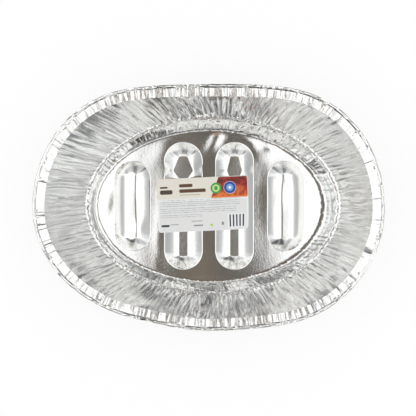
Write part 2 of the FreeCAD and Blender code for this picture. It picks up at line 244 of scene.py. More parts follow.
class InsetPlan(Plan):
    """The curve that runs a fixed distance inside another one."""

    def __init__(self, outer, inset):
        self.outer = outer
        self.inset = inset

    def points(self, angles):
        return self.outer.points(angles) - self.outer.outward(angles) * self.inset

    def outward(self, angles):
        return self.outer.outward(angles)


def ellipse(half_length, half_width, shift=(0, 0)):
    def radius_at(angles):
        return half_length * half_width / np.hypot(
            half_width * np.cos(angles), half_length * np.sin(angles)
        )

    return Plan(radius_at, shift)


def bent_oval(half_length, half_width, side_bow, bends):
    """An oval of four arcs that meet smoothly, bent out or in at each corner."""
    end_radius = half_width - side_bow
    side_radius = (half_length**2 + half_width**2 - 2 * half_length * end_radius) / (
        2 * side_bow
    )
    end_centre = half_length - end_radius
    side_centre = half_width - side_radius
    meeting = math.atan2(-side_centre * end_radius, end_centre * side_radius)

    def radius_at(angles):
        across, up = np.abs(np.cos(angles)), np.abs(np.sin(angles))
        end_rest = np.maximum(end_radius**2 - (end_centre * up) ** 2, 0)
        side_rest = np.maximum(side_radius**2 - (side_centre * across) ** 2, 0)
        at_end = end_centre * across + np.sqrt(end_rest)
        at_side = side_centre * up + np.sqrt(side_rest)
        radii = np.where(np.arctan2(up, across) < meeting, at_end, at_side)
        corner = (angles % (2 * math.pi) // (math.pi / 2)).astype(int) % 4
        return radii + np.array(bends)[corner] * np.sin(2 * angles) ** 2

    return Plan(radius_at)


def split_angles(plan, shares):
    """Angles from 0 round to a full turn that split a curve into lengths in these shares."""
    samples = 1440
    angles = np.linspace(0, 2 * math.pi, samples + 1)
    steps = np.linalg.norm(np.diff(plan.points(angles), axis=0), axis=1)
    lengths = np.append(0, np.cumsum(steps))
    wanted = np.append(0, np.cumsum(shares)[:-1]) * lengths[-1] / sum(shares)
    return np.interp(wanted, lengths, angles)


# The gathered wall

# Curves of the pan by number, and how far on towards the next one each row of points lies.
FLOOR_EDGE, HEEL, LEDGE, FOOT, FLANGE_INNER, FLANGE_OUTER = range(6)
ROWS = (
    0, 0.1, 0.45, 0.58, 0.75, 1, 1.15, 1.35, 1.55, 1.75, 1.92, 2, 2.15, 2.85, 3,
    3.04, 3.12, 3.22, 3.34, 3.47, 3.6, 3.72, 3.83, 3.92, 4, 4.3, 4.65, 5,
)
ROUNDED = (HEEL, LEDGE)
BEAD_ROWS = 9
COLUMNS_PER_LINE = 3
# How much of its rise the slack corner has made by each of its rows: nearly level at first.
HEEL_STOPS = (0, 0.1, 0.45, 0.58, 0.75, 1)
HEEL_RISE = (0, 0.023, 0.12, 0.24, 0.6, 1)
# Shallow rings run round the lower wall: in at some of its rows, and out at others.
RING_STOPS = (1, 1.15, 1.35, 1.55, 1.75, 1.92, 2)
RING_WAYS = (0, 0.6, -1, 1, -1, 0.5, 0)
# Place, and the share of dents, crumples, creases and flange ticks there. Past 5 is the rolled edge.
CRUMPLING = (
    (0, 0, 0, 0, 0),
    (1, 0.3, 0.5, 0.5, 0),
    (1.9, 0.2, 0.9, 0.7, 0),
    (2.1, 0.05, 0.05, 0.05, 0),
    (2.9, 0.05, 0.05, 0.1, 0),
    (3, 0.1, 0.1, 0.4, 0),
    (3.1, 0.3, 0.9, 1.2, 0),
    (3.7, 0.9, 1.2, 1.3, 0),
    (3.95, 0.2, 0.9, 0.7, 0),
    (4, 0.1, 0.1, 0.1, 0.5),
    (4.1, 0.05, 0.3, 0.55, 0.9),
    (4.7, 0.05, 0.38, 0.6, 0.9),
    (5, 0.1, 0.2, 0.2, 0.6),
    (5.4, 0.1, 0.7, 0.3, 0),
    (6, 0.1, 0.7, 0.3, 0),
    (7, 0.1, 0, 0, 0),
)
# The least and the most share of an even space or depth that a fold takes.
LOWER_SPACING = (0.7, 1.3)
UPPER_SPACING = (0.6, 1.4)
DEPTH_SHARES = (0.55, 1.3)
# How far a fold leans, in spaces between fold lines, how many times as far it wanders, and how
# much it swells.
FOLD_LEAN = 0.15
FOLD_WANDER = 2.2
FOLD_SWELL = 0.45
SWELL_LIMITS = (0.1, 2)
# The folds are deepest just above the foot of the wall.
DEEPEST_AT, DEEPER = 0.12, 1.3
# How far up the wall the flange's ripple starts, and how far out it is half as high.
RIPPLE_START, RIPPLE_HALF = 0.8, 0.8
# How far a pattern of chance reaches from row to row, and from column to column.
SWELL_REACH, WANDER_REACH = (2.5, 0.4), (3.5, 1.2)
DENT_REACH, CRUMPLE_REACH = (2.5, 22), (0.7, 2.2)
CREASE_REACH, LEANING_REACH = (2.2, 0.8), (3, 1.6)
RING_REACH, TICK_REACH = (0.1, 40), (4, 0.42)
# How many columns a leaning crease moves from row to row, and how much of the foil creases take.
CREASE_LEANS = (-0.9, 0.9)
CREASE_WIDTH = 0.55
# How strong upright creases are next to leaning ones, how much the rings change on their way round
# the pan, and the level of chance that ticks start from.
UPRIGHT_CREASES = 0.6
RING_CHANGE = 0.6
TICKS_FROM = 0.3


def zigzag(count, depth, chance):
    """Offsets to the two sides in turn, none of them quite alike."""
    return np.array([
        depth / 2 * chance.uniform(*DEPTH_SHARES) * (1 if i % 2 else -1) for i in range(count)
    ])


def spread(values, once_round=0.0):
    """Values at the fold lines, spread evenly over the columns between them."""
    closed = np.append(values, values[0] + once_round)
    places = np.arange(len(values) * COLUMNS_PER_LINE) / COLUMNS_PER_LINE
    return np.interp(places, np.arange(len(closed)), closed)


def between(at, stops, values):
    """What lies at a stop between two of several rows of values."""
    after = min(max(int(np.searchsorted(stops, at)), 1), len(stops) - 1)
    share = (at - stops[after - 1]) / (stops[after] - stops[after - 1])
    return (1 - share) * values[after - 1] + share * values[after]


def smooth_chance(shape, reaches, dice):
    """Smooth random numbers with a spread of 1. The last column runs on into the first."""
    waves = np.fft.fft2(dice.standard_normal(shape))
    for axis, reach in enumerate(reaches):
        turns = 2 * math.pi * np.fft.fftfreq(shape[axis]) * reach
        fade = np.exp(-(turns**2) / 2)
        waves = waves * (fade[:, None] if axis == 0 else fade[None, :])
    field = np.fft.ifft2(waves).real
    return field / field.std()


def surface_normals(rows):
    """The upward direction at each point of a net of rows that runs round the pan."""
    outwards = np.gradient(rows, axis=0)
    along = np.roll(rows, -1, axis=1) - np.roll(rows, 1, axis=1)
    normals = np.cross(outwards, along)
    return normals / np.linalg.norm(normals, axis=2, keepdims=True)


def pan_curves(sizes):
    """The curves of the pan from its floor's edge to its flange, and the curve of its rim."""
    root_drop = sizes.bead_radius - sizes.bead_rise
    root_turn = math.pi - math.asin(root_drop / sizes.bead_radius)
    root_inset = sizes.bead_radius * (1 - math.cos(root_turn))
    band_width = root_inset + sizes.flange_width
    heel_shift = (sizes.heel_shift_x, sizes.heel_shift_y)
    ledge_shift = (sizes.ledge_shift_x, sizes.ledge_shift_y)

    half_length, half_width = sizes.floor_length / 2, sizes.floor_width / 2
    curves = [ellipse(half_length, half_width)]
    for part, shift in (("heel", heel_shift), ("step", ledge_shift), ("ledge", ledge_shift)):
        half_length += getattr(sizes, part + "_run_end")
        half_width += getattr(sizes, part + "_run_side")
        curves.append(ellipse(half_length, half_width, shift))
    half_length += sizes.wall_run_end + band_width
    half_width += sizes.wall_run_side + band_width
    corners = ("back_right", "back_left", "front_left", "front_right")
    bends = [getattr(sizes, "bend_" + corner) for corner in corners]
    rim = bent_oval(half_length, half_width, sizes.rim_side_bow, bends)
    curves += [InsetPlan(rim, inset) for inset in (band_width, root_inset + sizes.groove_width)]
    return curves, rim, root_turn


def wall_rows(sizes, folds):
    """Rows of points on the upper face of the foil, from the floor's edge round the rolled edge."""
    curves, rim, root_turn = pan_curves(sizes)
    chance = random.Random(folds.fold_seed)
    step_lines = 2 * folds.step_fold_count
    spaces = [chance.uniform(*LOWER_SPACING) for _ in range(step_lines)]
    step_angles = split_angles(curves[HEEL], spaces)
    heel_pushes = zigzag(step_lines, folds.step_fold_depth / 2, chance)
    ledge_pushes = zigzag(step_lines, folds.step_fold_depth, chance)

    lines = 2 * folds.fold_count
    spaces = [chance.uniform(*UPPER_SPACING) for _ in range(lines)]
    wall_angles = split_angles(curves[FLANGE_INNER], spaces)
    lean = FOLD_LEAN * 2 * math.pi / lines
    leans = np.array([chance.uniform(-lean, lean) for _ in range(lines)])
    middle_depth = (folds.fold_depth + folds.fold_depth_flange) / 2
    foot_pushes = zigzag(lines, folds.fold_depth, chance)
    middle_pushes = zigzag(lines, middle_depth, chance)
    flange_pushes = zigzag(lines, folds.fold_depth_flange, chance)
    inner_lifts = zigzag(lines, folds.flange_ripple, chance)

    angles = spread(wall_angles, 2 * math.pi)
    columns = len(angles)
    flat = np.zeros(columns)
    step_stops = np.append(step_angles, 2 * math.pi)
    deepest, middle = FOOT + DEEPEST_AT, FOOT + 0.5
    push_stops = [FLOOR_EDGE, HEEL, LEDGE, FOOT, deepest, middle, FLANGE_INNER, FLANGE_OUTER]
    pushes = [
        flat,
        np.interp(angles, step_stops, np.append(heel_pushes, heel_pushes[0])),
        np.interp(angles, step_stops, np.append(ledge_pushes, ledge_pushes[0])),
        spread(foot_pushes),
        spread(foot_pushes) * DEEPER,
        spread(middle_pushes),
        spread(flange_pushes),
        flat,
    ]
    ripple_start, ripple_half = FOOT + RIPPLE_START, FLANGE_INNER + RIPPLE_HALF
    lift_stops = [FLOOR_EDGE, ripple_start, FLANGE_INNER, ripple_half, FLANGE_OUTER]
    outer_lifts = spread(inner_lifts) / 2 - folds.groove_depth
    lifts = [flat, flat, spread(inner_lifts), spread(inner_lifts) / 2, outer_lifts]
    heights = [sizes.foil_gauge, sizes.heel_height]
    heights += [sizes.ledge_height] * 2 + [sizes.flange_height] * 2

    # Each fold swells, fades and leans on its way up, and its neighbours follow it a little.
    dice = np.random.default_rng(folds.fold_seed)
    swell = smooth_chance((len(ROWS), lines), SWELL_REACH, dice)
    wander = smooth_chance((len(ROWS), lines), WANDER_REACH, dice)
    rows = []
    for i, at in enumerate(ROWS):
        band = min(int(at), FLANGE_INNER)
        share = at - band
        in_wall = math.sin(math.pi * min(max(at - FOOT, 0), 1))
        leaning = leans * (1 - abs(2 * (at - FOOT) - 1)) if FOOT < at < FLANGE_INNER else 0
        row_angles = angles + spread(leaning + wander[i] * in_wall * FOLD_WANDER * lean)
        size_of_folds = np.clip(1 + FOLD_SWELL * spread(swell[i]) * in_wall, *SWELL_LIMITS)
        points = (1 - share) * curves[band].points(row_angles)
        points = points + share * curves[band + 1].points(row_angles)
        outward = (1 - share) * curves[band].outward(row_angles)
        outward = outward + share * curves[band + 1].outward(row_angles)
        push = between(at, push_stops, pushes) * size_of_folds
        height_at = np.interp(at, HEEL_STOPS, HEEL_RISE) if at < HEEL else at
        height = between(height_at, range(len(heights)), heights) + between(at, lift_stops, lifts)
        points = points + outward * push[:, None]
        rows.append(np.column_stack([points, np.broadcast_to(height, columns)]))
    for curve in ROUNDED:
        i = ROWS.index(curve)
        rows[i] = rows[i] / 2 + (rows[i - 1] + rows[i + 1]) / 4

    root_drop = sizes.bead_radius - sizes.bead_rise
    for i in range(BEAD_ROWS + 1):
        bend = root_turn - sizes.bead_curl * i / BEAD_ROWS
        inset = sizes.bead_radius * (1 - math.cos(bend))
        height = sizes.flange_height - root_drop + sizes.bead_radius * math.sin(bend)
        points = InsetPlan(rim, inset).points(angles)
        rows.append(np.column_stack([points, np.full(columns, height)]))
    rows = np.array(rows)
    return rows + surface_normals(rows) * crumpling(folds, len(rows), columns, dice)[..., None]


def leaning_creases(shape, reaches, lean, dice):
    """Narrow valleys that run up the walls and lean to one side, in columns for each row."""
    field = smooth_chance(shape, reaches, dice)
    field = np.array([np.roll(row, round(lean * i)) for i, row in enumerate(field)])
    return 1 - np.minimum(np.abs(field) / CREASE_WIDTH, 1)


def crumpling(folds, count, columns, dice):
    """How far each point of the walls stands off: dents, crumples and fine creases."""
    places = np.append(ROWS, FLANGE_OUTER + np.linspace(0.5, 2, count - len(ROWS)))
    shape = (count, columns)
    stops, *all_shares = np.array(CRUMPLING).T
    dent_share, crumple_share, crease_share, tick_share = [
        np.interp(places, stops, shares)[:, None] for shares in all_shares
    ]
    dents = smooth_chance(shape, DENT_REACH, dice) * folds.dent_depth
    crumples = smooth_chance(shape, CRUMPLE_REACH, dice) * folds.crumple_depth
    creases = smooth_chance(shape, CREASE_REACH, dice) * UPRIGHT_CREASES
    for lean in CREASE_LEANS:
        creases += leaning_creases(shape, LEANING_REACH, lean, dice)
    ring_way = np.interp(places, RING_STOPS, RING_WAYS)[:, None]
    ring_share = 1 + RING_CHANGE * smooth_chance(shape, RING_REACH, dice)[:1]
    ticks = np.maximum(smooth_chance(shape, TICK_REACH, dice) - TICKS_FROM, 0) * folds.tick_depth
    return (
        dents * dent_share
        + ring_way * ring_share * folds.ring_depth
        + crumples * crumple_share
        - creases * folds.crease_depth * crease_share
        - ticks * tick_share
    )


# The floor and its ribs

# The lines of points round each rib: 0 is the edge of its crest and 1 the foot of its slope.
RIB_LINES = (0, 0.08, 0.95, 1, 1.035)
# How far in from the edges of its crest a rib is level: the middle ribs and the outer ones.
MIDDLE_CREST_LINE = -0.04
OUTER_CREST_LINE = -0.13
SLOPE_BULGE = 1.3
CREST_ROUND = 0.5 * MM
# Where a crest is widest, from the end of its straight part, and how far the flare reaches.
FLARE_FROM_END = 0.014
FLARE_REACH_BACK = 0.021
FLARE_REACH_FRONT = 0.012
# A share that lies past the whole floor, and how often the search for a share halves its range.
FAR_OUT = 8.0
HALVINGS = 24
# The ends of a small line round a rib get as many points as this share would, and at least so many.
LEAST_BEND_SHARE, LEAST_BEND_POINTS = 0.35, 8
# How many pitches from the middle of the floor the ribs stand.
OUTER_STATION, MIDDLE_STATION = 1.5, 0.5


class Rib:
    """A rib like a hipped roof with round ends, along Y. Its crest is flat and ends square."""

    def __init__(self, sizes, station, width, flare, crest_line):
        floor_end = sizes.floor_length / 2 - sizes.rib_side_margin
        pitch = (floor_end - sizes.outer_rib_width / 2) / OUTER_STATION
        self.x = station * pitch
        reach = sizes.floor_width / 2 * math.sqrt(1 - (2 * self.x / sizes.floor_length) ** 2)
        self.half_width = width / 2
        self.half_straight = reach - sizes.rib_end_margin - self.half_width
        self.half_crest = sizes.crest_width / 2 - CREST_ROUND
        self.run = self.half_width - self.half_crest
        self.height = sizes.rib_height
        self.flare = flare
        self.lines = (crest_line,) + RIB_LINES

    def crest(self, ys):
        """Half the width of the crest, which the pressing left wider near its back end."""
        from_peak = ys - self.half_straight + FLARE_FROM_END
        reach = np.where(from_peak > 0, FLARE_REACH_BACK, FLARE_REACH_FRONT)
        return self.half_crest + self.flare * np.clip(1 - np.abs(from_peak) / reach, 0, 1)

    def share_out(self, points):
        """How far out each point lies: 0 at the edge of the crest, and 1 at the foot of the slope."""
        across = np.abs(points[:, 0] - self.x)
        past = np.abs(points[:, 1]) - self.half_straight
        crest = self.crest(points[:, 1])
        least, most = np.zeros(len(points)), np.full(len(points), FAR_OUT)
        for _ in range(HALVINGS):
            share = (least + most) / 2
            half_across = crest + (self.half_width - crest) * share
            beyond = np.maximum(past - self.half_crest * (1 - share), 0)
            outside = (across / half_across) ** 2 + (beyond / (self.half_width * share)) ** 2 > 1
            least = np.where(outside, share, least)
            most = np.where(outside, most, share)
        return share

    def heights(self, points):
        """Steepest at the floor, so that the slopes bulge a little."""
        up = np.clip(1 - self.share_out(points), 0, 1)
        return self.height * (1 - (1 - up) ** SLOPE_BULGE)

    def outline(self, share, step):
        """Points round the line that lies this far out."""
        end = self.half_straight + self.half_crest * (1 - share)
        if share < 0:
            end = self.half_straight + self.half_crest + self.run * share
        straight_count = max(int(2 * end / step), 2)
        ys = np.linspace(-end, end, straight_count, endpoint=False)
        bend_length = math.pi * self.half_width * max(share, LEAST_BEND_SHARE)
        bend_count = max(int(bend_length / step), LEAST_BEND_POINTS)
        bends = np.linspace(0, math.pi, bend_count, endpoint=False)

        def half_across(at):
            crest = self.crest(at)
            return crest + (self.half_width - crest) * share

        at_end = self.half_crest + (self.half_width - self.half_crest) * share
        along = self.half_width * max(share, 0) * np.sin(bends)
        right = np.column_stack([half_across(ys), ys])
        back = np.column_stack([at_end * np.cos(bends), end + along])
        left = np.column_stack([-half_across(-ys), -ys])
        front = np.column_stack([-at_end * np.cos(bends), -end - along])
        return np.vstack([right, back, left, front]) + np.array([self.x, 0])


def make_ribs(sizes):
    ribs = (
        (-OUTER_STATION, sizes.outer_rib_width, 0, OUTER_CREST_LINE),
        (-MIDDLE_STATION, sizes.rib_width, sizes.crest_flare, MIDDLE_CREST_LINE),
        (MIDDLE_STATION, sizes.rib_width, sizes.crest_flare_right, MIDDLE_CREST_LINE),
        (OUTER_STATION, sizes.outer_rib_width, 0, OUTER_CREST_LINE),
    )
    return [Rib(sizes, *rib) for rib in ribs]


# Buckles of the foil: middle in x and y, spread along and across in metres, and turn in degrees.
BUCKLES = (
    (0.010, 0.099, 0.015, 0.006, 60, 1.7),
    (0.066, 0.088, 0.014, 0.007, -50, 1.4),
    (-0.068, 0.084, 0.018, 0.009, 55, 0.6),
    (0.094, 0.084, 0.012, 0.006, 20, 1.2),
    (-0.152, 0.004, 0.016, 0.006, 80, 0.9),
    (0.146, 0.052, 0.018, 0.006, -55, 1.3),
    (-0.074, -0.030, 0.045, 0.005, 86, 0.4),
    (0.089, 0.010, 0.036, 0.006, 90, 0.5),
    (-0.036, 0.060, 0.006, 0.004, 30, 0.8),
    (0.038, 0.062, 0.005, 0.004, -40, 0.8),
    (-0.104, -0.034, 0.010, 0.005, 78, 2),
    (-0.109, 0.030, 0.016, 0.004, 84, 1.2),
    (0.111, 0.046, 0.009, 0.006, -60, 2),
    (0.106, 0.020, 0.014, 0.004, 80, 1),
)


def buckles(points, height):
    """Low bumps where the foil is slack."""
    total = np.zeros(len(points))
    for x, y, along, across, degrees, share in BUCKLES:
        heading = math.radians(degrees)
        away = points - (x, y)
        far_along = away @ (math.cos(heading), math.sin(heading)) / along
        far_across = away @ (-math.sin(heading), math.cos(heading)) / across
        total += share * height * np.exp(-(far_along ** 2 + far_across ** 2) / 2)
    return total


# How many shallow waves cross the floor, their least and greatest length, and the held strip at its
# edge, as a share of the floor.
SLACK_WAVES = 22
WAVE_LENGTHS = (0.045, 0.12)
HELD_EDGE = 0.06
# How far apart the points of the floor are, and how clear of its lines. Nearer ones are one place.
NET_STEP, NET_CLEAR = 2.3 * MM, 0.8 * MM
SAME_PLACE = 0.01 * MM


def slack(points, wave, dice):
    """Shallow waves of the foil between the places where the tool holds it."""
    total = np.zeros(len(points))
    for _ in range(SLACK_WAVES):
        heading = dice.uniform(0, math.pi)
        wavelength = dice.uniform(*WAVE_LENGTHS)
        phase = dice.uniform(0, 2 * math.pi)
        along = points @ np.array([math.cos(heading), math.sin(heading)])
        total += np.sin(2 * math.pi * along / wavelength + phase)
    return total * wave / math.sqrt(SLACK_WAVES / 2)


def floor_net(edge, sizes, folds):
    """Points and triangles of the floor, with a line of points along every edge of its ribs."""
    ribs = make_ribs(sizes)
    points = [edge]
    links = [np.column_stack([np.arange(len(edge)), np.roll(np.arange(len(edge)), -1)])]
    used = len(edge)
    for rib in ribs:
        for share in rib.lines:
            line = rib.outline(share, NET_STEP)
            order = used + np.arange(len(line))
            points.append(line)
            links.append(np.column_stack([order, np.roll(order, -1)]))
            used += len(line)

    half = np.abs(edge).max(axis=0)
    xs = np.arange(-half[0], half[0], NET_STEP)
    ys = np.arange(-half[1], half[1], NET_STEP)
    grid = np.array([
        (x + (j % 2) * NET_STEP / 2, y) for j, y in enumerate(ys) for x in xs
    ])
    on_floor = ((grid / (half - NET_CLEAR)) ** 2).sum(axis=1) < 1
    for rib in ribs:
        share = rib.share_out(grid)
        for line in rib.lines:
            on_floor &= np.abs(share - line) * rib.run > NET_CLEAR
    points.append(grid[on_floor])
    points = np.vstack(points)

    made = delaunay_2d_cdt(
        [Vector(p) for p in points], np.vstack(links).tolist(), [], 1, 1e-7, False
    )
    found = np.array([tuple(p) for p in made[0]])
    if len(found) != len(points) or np.abs(found - points).max() > SAME_PLACE:
        raise RuntimeError("the points of the floor didn't keep their places")

    dice = np.random.default_rng(folds.fold_seed + 1)
    heights = np.full(len(points), sizes.foil_gauge)
    for rib in ribs:
        heights += rib.heights(points)
    from_edge = 1 - np.hypot(points[:, 0] / half[0], points[:, 1] / half[1])
    hold = np.clip(from_edge / HELD_EDGE, 0, 1)
    waves = slack(points, folds.floor_wave, dice)
    on_table = heights < sizes.foil_gauge + SAME_PLACE
    waves = np.where(on_table, np.abs(waves), waves)
    waves += buckles(points, folds.buckle_height)
    return np.column_stack([points, heights + waves * hold]), np.array(made[2])


# Meshes

def vertex_normals(points, triangles):
    corners = points[triangles]
    normals = np.cross(corners[:, 1] - corners[:, 0], corners[:, 2] - corners[:, 0])
    total = np.zeros_like(points)
    for i in range(3):
        np.add.at(total, triangles[:, i], normals)
    return total / np.linalg.norm(total, axis=1, keepdims=True)


def make_object(name, points, faces, material):
    mesh = bpy.data.meshes.new(name)
    mesh.from_pydata(points.tolist(), [], faces)
    mesh.validate()
    mesh.materials.append(material)
    mesh.shade_smooth()
    made = bpy.data.objects.new(name, mesh)
    bpy.context.scene.collection.objects.link(made)
    return made


# How much the ribs are rubbed, where 1 is the wall, and how far above the floor that starts.
RUBBED_RIBS = 0.7
RUBBED_FROM = 1.5 * MM
# How gathered the foil is at each curve of the pan.
GATHERED = (0, 0.3, 0.7, 0.8, 1, 0.9, 0.6)
FOIL_SHARP_ANGLE = math.radians(35)


def press_foil(sizes, folds, finish):
    rows = wall_rows(sizes, folds)
    floor_points, floor_triangles = floor_net(rows[0][:, :2], sizes, folds)
    floor_points[: len(rows[0])] = rows[0]
    count, columns = rows.shape[:2]
    upper = np.vstack([floor_points, rows[1:].reshape(-1, 3)])

    numbers = np.empty((count, columns), int)
    numbers[0] = np.arange(columns)
    numbers[1:] = len(floor_points) + np.arange((count - 1) * columns).reshape(-1, columns)
    here, there = numbers[:-1], numbers[1:]
    quads = np.stack(
        [here, there, np.roll(there, -1, axis=1), np.roll(here, -1, axis=1)], axis=-1
    ).reshape(-1, 4)
    triangles = np.vstack([floor_triangles, quads[:, [0, 1, 2]], quads[:, [0, 2, 3]]])
    lower = upper - vertex_normals(upper, triangles) * sizes.foil_gauge

    under = len(upper)
    last, after_last = numbers[-1], np.roll(numbers[-1], -1)
    cut_edge = np.stack([after_last, last, last + under, after_last + under], axis=-1)
    faces = floor_triangles.tolist() + quads.tolist()
    faces += (floor_triangles[:, ::-1] + under).tolist() + (quads[:, ::-1] + under).tolist()
    faces += cut_edge.tolist()
    pan = make_object(
        "pressed_foil", np.vstack([upper, lower]), faces, pressed_foil_material(finish)
    )
    pan.data.set_sharp_from_angle(angle=FOIL_SHARP_ANGLE)

    places = np.append(ROWS[1:], np.full(BEAD_ROWS + 1, FLANGE_OUTER + 1))
    gathered = np.interp(places, range(len(GATHERED)), GATHERED)
    weights = np.append(np.zeros(len(floor_points)), np.repeat(gathered, columns))
    rubbed = weights.copy()
    rib_share = np.clip((floor_points[:, 2] - sizes.foil_gauge) / RUBBED_FROM, 0, 1)
    rubbed[: len(floor_points)] = RUBBED_RIBS * rib_share
    for name, values in (("gathered", weights), ("rubbed", rubbed)):
        shares = pan.data.attributes.new(name, "FLOAT", "POINT")
        shares.data.foreach_set("value", np.tile(values, 2).astype(np.float32))
    return pan


LABEL_CELLS = (67, 40)
# The corner's curl reaches so far, and draws the corner in by this share of its lift.
CURL_REACH, CURL_DRAW = 0.042, 0.3
# How far from its middle the card starts to rise to the left, and how far it is off the crests.
FLAT_TO_LEFT = 0.03
LABEL_GAP = 0.15 * MM
CARD_SHARP_ANGLE = math.radians(40)


def cut_label(sizes, inks):
    """A card with round corners, curled a little, lying on the crests of the middle ribs."""
    columns, rows = LABEL_CELLS
    half = np.array([sizes.label_length, sizes.label_width]) / 2
    us, vs = np.meshgrid(np.linspace(-1, 1, columns + 1), np.linspace(-1, 1, rows + 1))
    flat = np.column_stack([us.ravel(), vs.ravel()]) * half
    core = half - sizes.label_corner
    past = np.maximum(np.abs(flat) - core, 0)
    reach = np.hypot(past[:, 0], past[:, 1])
    squareness = np.maximum(past[:, 0], past[:, 1])
    squeeze = np.where(reach > 0, squareness / np.maximum(reach, 1e-9), 1)
    flat = np.where(
        (past.min(axis=1) > 0)[:, None], np.sign(flat) * (core + past * squeeze[:, None]), flat
    )

    corner = np.array([half[0], -half[1]])
    from_corner = np.hypot(flat[:, 0] - corner[0], flat[:, 1] - corner[1])
    curl = np.clip(1 - from_corner / CURL_REACH, 0, 1)
    left = np.clip((-flat[:, 0] - FLAT_TO_LEFT) / (half[0] - FLAT_TO_LEFT), 0, 1)
    lift = sizes.corner_lift * curl**2 + sizes.edge_lift * left**2
    inwards = -corner / np.linalg.norm(corner)
    drawn = inwards * (curl**2 * sizes.corner_lift * CURL_DRAW)[:, None]

    cos, sin = math.cos(sizes.label_turn), math.sin(sizes.label_turn)
    placed = (flat + drawn) @ np.array([[cos, sin], [-sin, cos]])
    placed = placed + np.array([sizes.label_x, sizes.label_y])
    bottom = LABEL_BOX[0].z + LABEL_GAP
    lower = np.column_stack([placed, bottom + lift])
    upper = np.column_stack([placed, bottom + lift + sizes.label_thickness])

    numbers = np.arange(len(flat)).reshape(rows + 1, columns + 1)
    quads = np.stack(
        [numbers[:-1, :-1], numbers[:-1, 1:], numbers[1:, 1:], numbers[1:, :-1]], axis=-1
    ).reshape(-1, 4)
    rim = np.concatenate([
        numbers[0, :-1], numbers[:-1, -1], numbers[-1, :0:-1], numbers[:0:-1, 0]
    ])
    following = np.roll(rim, -1)
    under = len(flat)
    sides = np.stack([following, rim, rim + under, following + under], axis=-1)
    faces = quads.tolist() + (quads[:, ::-1] + under).tolist() + sides.tolist()
    label = make_object(
        "printed_label", np.vstack([upper, lower]), faces, printed_card_material(inks)
    )
    label.data.set_sharp_from_angle(angle=CARD_SHARP_ANGLE)

    share = np.tile(flat / (2 * half) + 0.5, (2, 1))
    from_top = np.column_stack([share[:, 0], 1 - share[:, 1]])
    loops = np.empty(len(label.data.loops), int)
    label.data.loops.foreach_get("vertex_index", loops)
    print_map = label.data.uv_layers.new(name="print")
    print_map.uv.foreach_set("vector", from_top[loops].astype(np.float32).ravel())
    return label


# Materials

def add_node(tree, kind, inputs=None, **settings):
    """Adds a shader or group node. An input is a value, or the node or socket that feeds it."""
    node = tree.nodes.new(kind if kind.startswith("NodeGroup") else "ShaderNode" + kind)
    for name, value in settings.items():
        setattr(node, name, value)
    for key, value in (inputs or {}).items():
        if isinstance(value, bpy.types.Node):
            value = value.outputs[0]
        if isinstance(value, bpy.types.NodeSocket):
            tree.links.new(value, node.inputs[key])
        else:
            node.inputs[key].default_value = value
    return node


def new_material(name):
    """An empty material. Returns it and its node tree."""
    material = bpy.data.materials.new(name)
    material.use_nodes = True
    material.node_tree.nodes.clear()
    return material, material.node_tree


# The most that wear adds to the roughness, and how strong the crinkles are where nothing is gathered.
WEAR_ROUGHNESS = 0.06
FLAT_CRINKLES = 0.25


def pressed_foil_material(finish):
    # Cold rolled aluminium foil, bright side up: it mirrors the room with faint lines from the rolls,
    # and is softer and more broken up where it is gathered.
    material, tree = new_material("aluminium_foil_cold_rolled")
    place = add_node(tree, "TexCoord").outputs["Object"]
    gathered, rubbed = [
        add_node(tree, "Attribute", attribute_name=name).outputs["Fac"]
        for name in ("gathered", "rubbed")
    ]

    # Roll lines run along Y, about 1.5 mm apart, which is far coarser than the real ones, to show.
    rolled = add_node(tree, "Mapping", {"Vector": place, "Scale": (700, 14, 200)})
    lines = add_node(
        tree, "TexNoise", {"Vector": rolled, "Scale": 1, "Detail": 3, "Roughness": 0.6}
    )
    # Crinkles of about 3 mm, a grain of about 0.8 mm, and duller patches of about 35 mm.
    crinkles = add_node(
        tree, "TexNoise",
        {"Vector": place, "Scale": 330, "Detail": 4, "Roughness": 0.62, "Distortion": 0.6},
    )
    grain = add_node(tree, "TexNoise", {"Vector": place, "Scale": 1250, "Detail": 2})
    wear = add_node(tree, "TexNoise", {"Vector": place, "Scale": 28, "Detail": 5})

    tint = add_node(
        tree, "Mix", {0: wear, 6: finish.foil_colour, 7: finish.foil_haze}, data_type="RGBA"
    )
    rough_base = add_node(
        tree, "MapRange",
        {"Value": rubbed, "To Min": finish.floor_roughness, "To Max": finish.wall_roughness},
    )
    rough = add_node(
        tree, "Math", {0: wear, 1: WEAR_ROUGHNESS, 2: rough_base}, operation="MULTIPLY_ADD"
    )
    crinkle_depth = add_node(tree, "MapRange", {"Value": gathered, "To Min": FLAT_CRINKLES})
    # The finest relief first: how strong it is, how high, and its pattern.
    relief = {}
    for strength, height, pattern in (
        (0.5, 0.01 * MM, grain),
        (0.5, 0.02 * MM, lines),
        (crinkle_depth, 0.22 * MM, crinkles),
    ):
        bump = add_node(
            tree, "Bump", {"Strength": strength, "Distance": height, "Height": pattern, **relief}
        )
        relief = {"Normal": bump}
    foil = add_node(
        tree, "BsdfPrincipled",
        {"Base Color": tint.outputs[2], "Metallic": 1, "Roughness": rough, **relief},
    )
    add_node(tree, "OutputMaterial", {"Surface": foil})
    return material


# How much of an ink its edge gains in a millimetre, so that the edge is 0.2 mm soft.
INK_EDGE = 5


